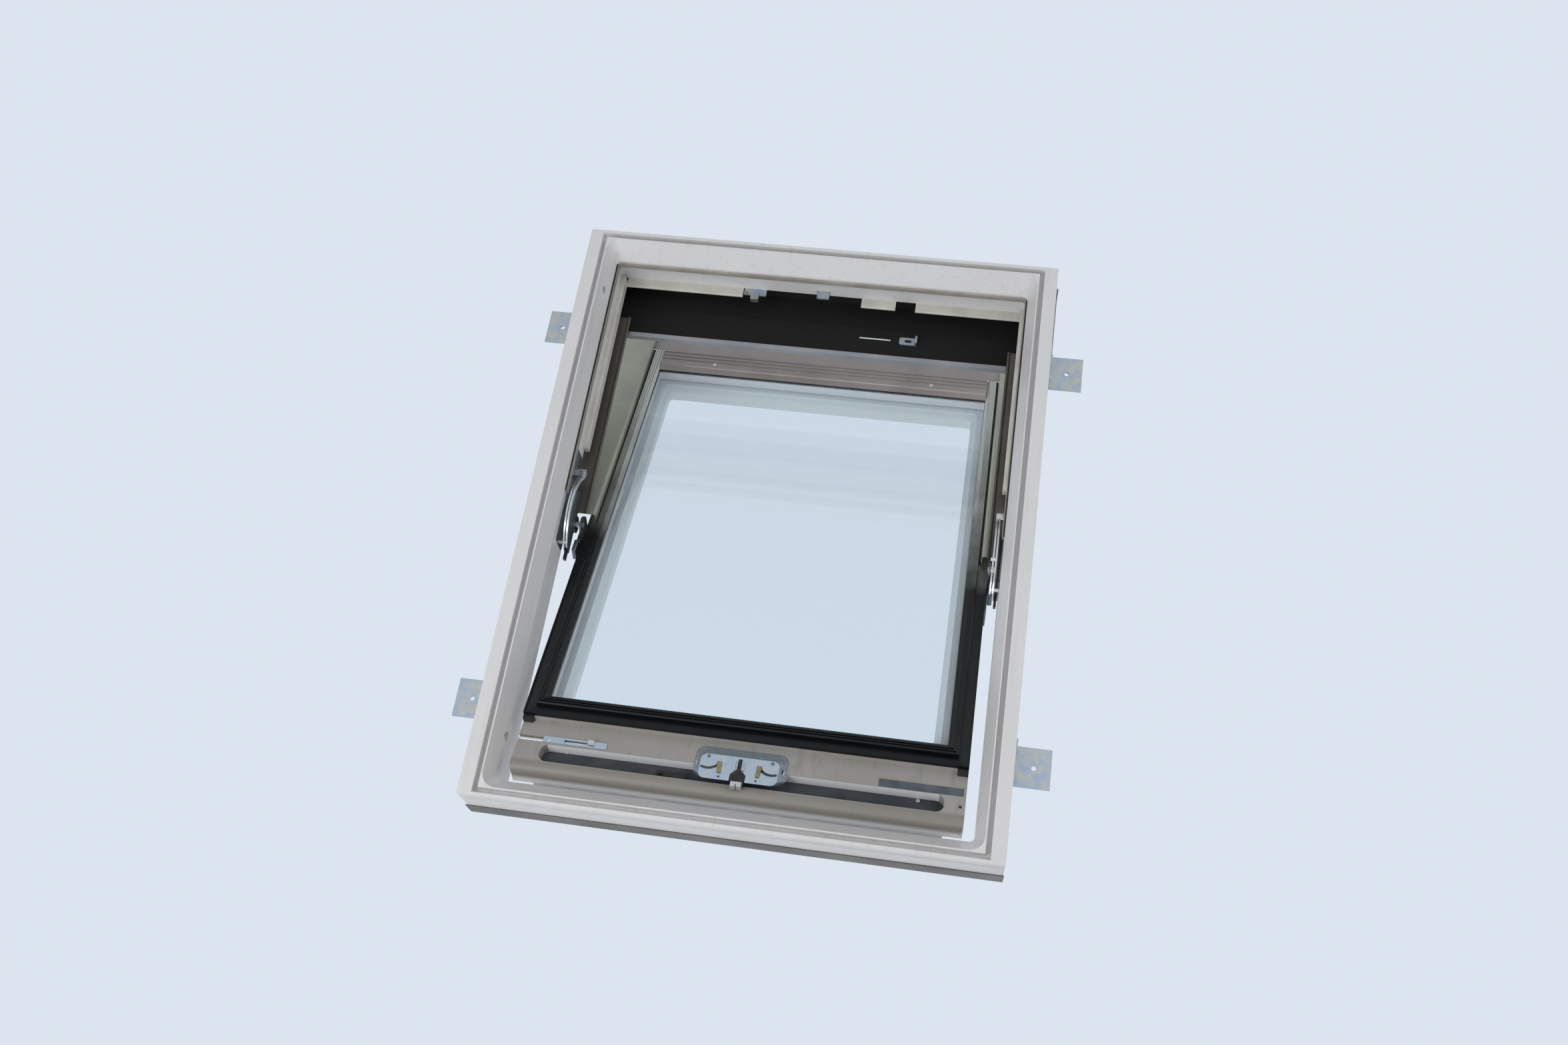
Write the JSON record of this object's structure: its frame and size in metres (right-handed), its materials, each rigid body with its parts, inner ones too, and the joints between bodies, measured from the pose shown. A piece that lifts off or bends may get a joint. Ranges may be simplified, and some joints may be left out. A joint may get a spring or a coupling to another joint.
{
  "type": "roof skylight",
  "caption": "Centre-pivot roof window with a moulded frame and sash, insulating glass, metal covers, friction hinges, spring latch and barrel bolt, its sash swung round for cleaning.",
  "frame": {"origin": "middle of the four fixing brackets, in the plane of their undersides on the roof battens", "axes": "+X along the pivot axis towards the jamb with the bolt bushes, +Y up the roof slope, +Z out of the roof"},
  "size_m": [0.89, 0.9895, 0.342],
  "materials": {
    "moulded_white": "satin lacquer",
    "rubber_grey": "matte",
    "strip_cream": "matte",
    "cover_grey": "satin",
    "hood_grey": "satin",
    "profile_anthracite": "satin",
    "profile_aluminium": "satin",
    "liner_black": "matte",
    "zinc_steel": "zinc plated",
    "bright_steel": "bright",
    "brass": "plain",
    "plastic_black": "matte",
    "rubber_black": "matte",
    "glass_clear": "clear",
    "spacer_silver": "satin",
    "filter_dark": "felt",
    "plate_silver": "brushed"
  },
  "bodies": {
    "frame": {"casing": "moulded_white", "head_gasket": "rubber_grey", "head_strip": "strip_cream", "jamb_strip_left": "strip_cream", "jamb_strip_right": "strip_cream", "hood": "hood_grey", "head_liner": "liner_black", "side_cover_left": "cover_grey", "side_cover_right": "cover_grey", "lower_trim_left": "cover_grey", "lower_trim_right": "cover_grey", "sill_cover": "cover_grey", "fixing_brackets": "zinc_steel", "bracket_screws": "zinc_steel", "keeper": "zinc_steel", "catch_plate": "zinc_steel", "hood_arm": "zinc_steel", "spring_rod": "bright_steel", "bolt_bushes": "moulded_white", "hinge_plate_left": "zinc_steel", "hinge_plate_right": "zinc_steel", "hinge_case_left": "zinc_steel", "hinge_case_right": "zinc_steel", "hinge_insert_left": "plastic_black", "hinge_insert_right": "plastic_black", "friction_track_left": "bright_steel", "friction_track_right": "bright_steel", "pivot_pins": "bright_steel"},
    "sash": {"sash_frame": "moulded_white", "outer_pane": "glass_clear", "inner_pane": "glass_clear", "spacer_bar": "spacer_silver", "edge_seal": "rubber_black", "glazing_gasket": "rubber_black", "top_profile": "profile_anthracite", "side_profile_left": "profile_aluminium", "side_profile_right": "profile_aluminium", "bottom_cover": "cover_grey", "sash_side_cover_left": "cover_grey", "sash_side_cover_right": "cover_grey", "side_seals": "rubber_black", "corner_clips": "rubber_black", "sash_hinge_left": "zinc_steel", "sash_hinge_right": "zinc_steel", "lock_case": "zinc_steel", "lock_springs": "bright_steel", "vent_filter": "filter_dark", "vent_link": "plastic_black", "bolt_plate": "zinc_steel", "type_plate": "plate_silver", "sash_screws": "bright_steel", "bar_brackets": "plate_silver"},
    "control_bar": {"control_bar": "plate_silver"},
    "latch": {"latch": "plastic_black", "latch_jaw": "bright_steel"},
    "lock_lever_left": {"lock_lever_left": "brass"},
    "lock_lever_right": {"lock_lever_right": "brass"},
    "barrel_bolt": {"barrel_bolt": "bright_steel"}
  },
  "joints": [
    {"name": "sash_pivot", "type": "hinge", "parent": "frame", "child": "sash", "pos_m": [0, 0, 0.063], "axis": [1, 0, 0], "range_deg": [0, 161.2]},
    {"name": "bar_hinge", "type": "hinge", "parent": "sash", "child": "control_bar", "pos_m": [0, -0.39187, 0.02255], "axis": [-1, 0, 0], "range_deg": [0, 40]},
    {"name": "lever_left_turn", "type": "hinge", "parent": "sash", "child": "lock_lever_left", "pos_m": [0.0425, -0.38499, -0.03954], "axis": [0, -0.3223, 0.9466], "range_deg": [0, 78]},
    {"name": "lever_right_turn", "type": "hinge", "parent": "sash", "child": "lock_lever_right", "pos_m": [-0.0505, -0.38499, -0.03954], "axis": [0, 0.3223, -0.9466], "range_deg": [0, 78]},
    {"name": "latch_slide", "type": "slide", "parent": "sash", "child": "latch", "axis": [0, -0.9466, -0.3223], "range_m": [0, 0.014]},
    {"name": "bolt_slide", "type": "slide", "parent": "sash", "child": "barrel_bolt", "axis": [1, 0, 0], "range_m": [0, 0.036]}
  ],
  "couplings": [
    {"joint": "lever_left_turn", "follows": "bar_hinge", "ratio": 1.95},
    {"joint": "lever_right_turn", "follows": "bar_hinge", "ratio": 1.95}
  ]
}
